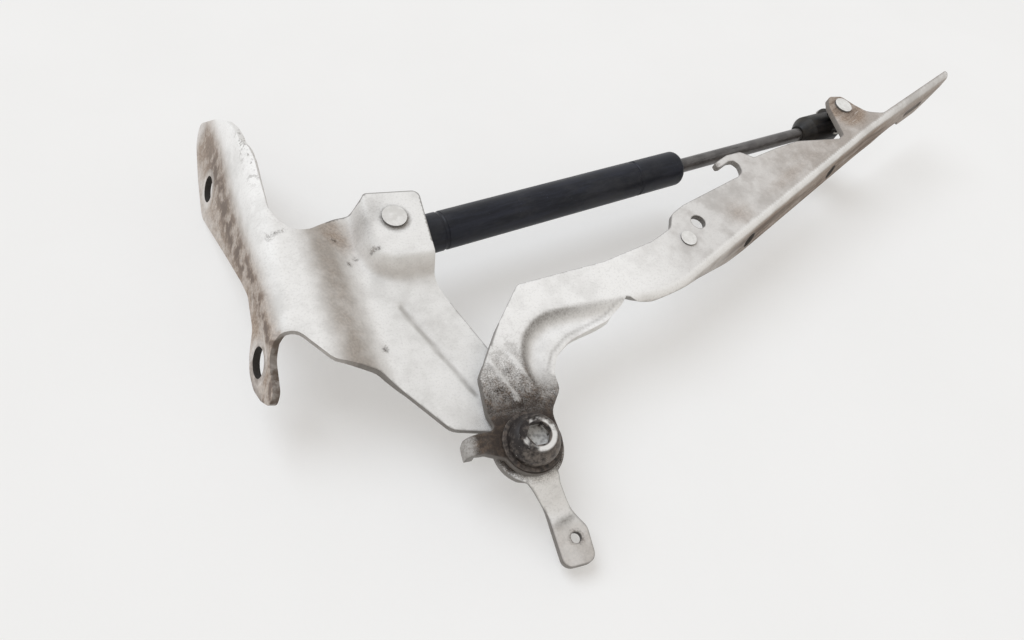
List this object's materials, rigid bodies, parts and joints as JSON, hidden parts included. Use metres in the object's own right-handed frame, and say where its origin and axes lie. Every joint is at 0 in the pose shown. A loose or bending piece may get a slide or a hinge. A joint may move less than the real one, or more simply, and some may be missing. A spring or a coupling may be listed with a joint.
{
  "type": "car bonnet hinge",
  "caption": "Pressed-steel car bonnet hinge: a stepped body bracket, a long flanged bonnet arm on a bolt pivot, and a gas strut between ball studs.",
  "frame": {"origin": "on the pivot axis, at the top face of the body bracket's web", "axes": "+Z along the pivot axis towards the bolt head, +X from the body flange across to the bonnet arm, +Y along the body flange; the hinge is stored fully open"},
  "size_m": [0.4937, 0.26, 0.0678],
  "materials": {
    "bracket_paint": "satin white paint, worn, brown grime on the flange",
    "arm_paint": "satin grey-white paint, worn at the neck and the flange",
    "pivot_steel": "greasy dark steel with paint chips",
    "washer_steel": "stained steel",
    "bush_bronze": "dull bearing metal",
    "stud_steel": "dull light steel",
    "tube_paint": "satin blue-black paint",
    "rod_steel": "dark polished steel",
    "socket_plastic": "matte black plastic",
    "seal_rubber": "black rubber",
    "guide_alloy": "turned light alloy"
  },
  "bodies": {
    "bracket": {"body_bracket": "bracket_paint", "lower_ball_stud": "stud_steel", "pivot_bolt": "pivot_steel", "pivot_nut": "pivot_steel", "lower_washer": "washer_steel", "upper_washer": "washer_steel"},
    "arm": {"bonnet_arm": "arm_paint", "upper_ball_stud": "stud_steel", "arm_stud": "stud_steel", "pivot_bush": "bush_bronze"},
    "rod": {"piston_rod": "rod_steel", "piston": "guide_alloy", "piston_ring": "seal_rubber", "upper_socket": "socket_plastic", "socket_clip": "stud_steel"},
    "tube": {"strut_tube": "tube_paint", "tube_plug": "rod_steel", "lower_socket": "socket_plastic", "rod_guide": "guide_alloy", "rod_seal": "seal_rubber", "guide_clip": "stud_steel"}
  },
  "joints": [
    {"name": "arm_pivot", "type": "hinge", "parent": "bracket", "child": "arm", "pos_m": [0, 0, 0], "axis": [0, 0, 1], "range_deg": [0, 40]},
    {"name": "rod_swing", "type": "hinge", "parent": "arm", "child": "rod", "pos_m": [0.265, 0.1715, -0.011], "axis": [0, 0, 1], "range_deg": [0, 5.06]},
    {"name": "tube_slide", "type": "slide", "parent": "rod", "child": "tube", "axis": [0.979, 0.2037, 0], "range_m": [0, 0.0747]}
  ],
  "couplings": [
    {"joint": "rod_swing", "follows": "arm_pivot", "ratio": 0.12627},
    {"joint": "tube_slide", "follows": "arm_pivot", "m_per_rad": 0.10697}
  ]
}
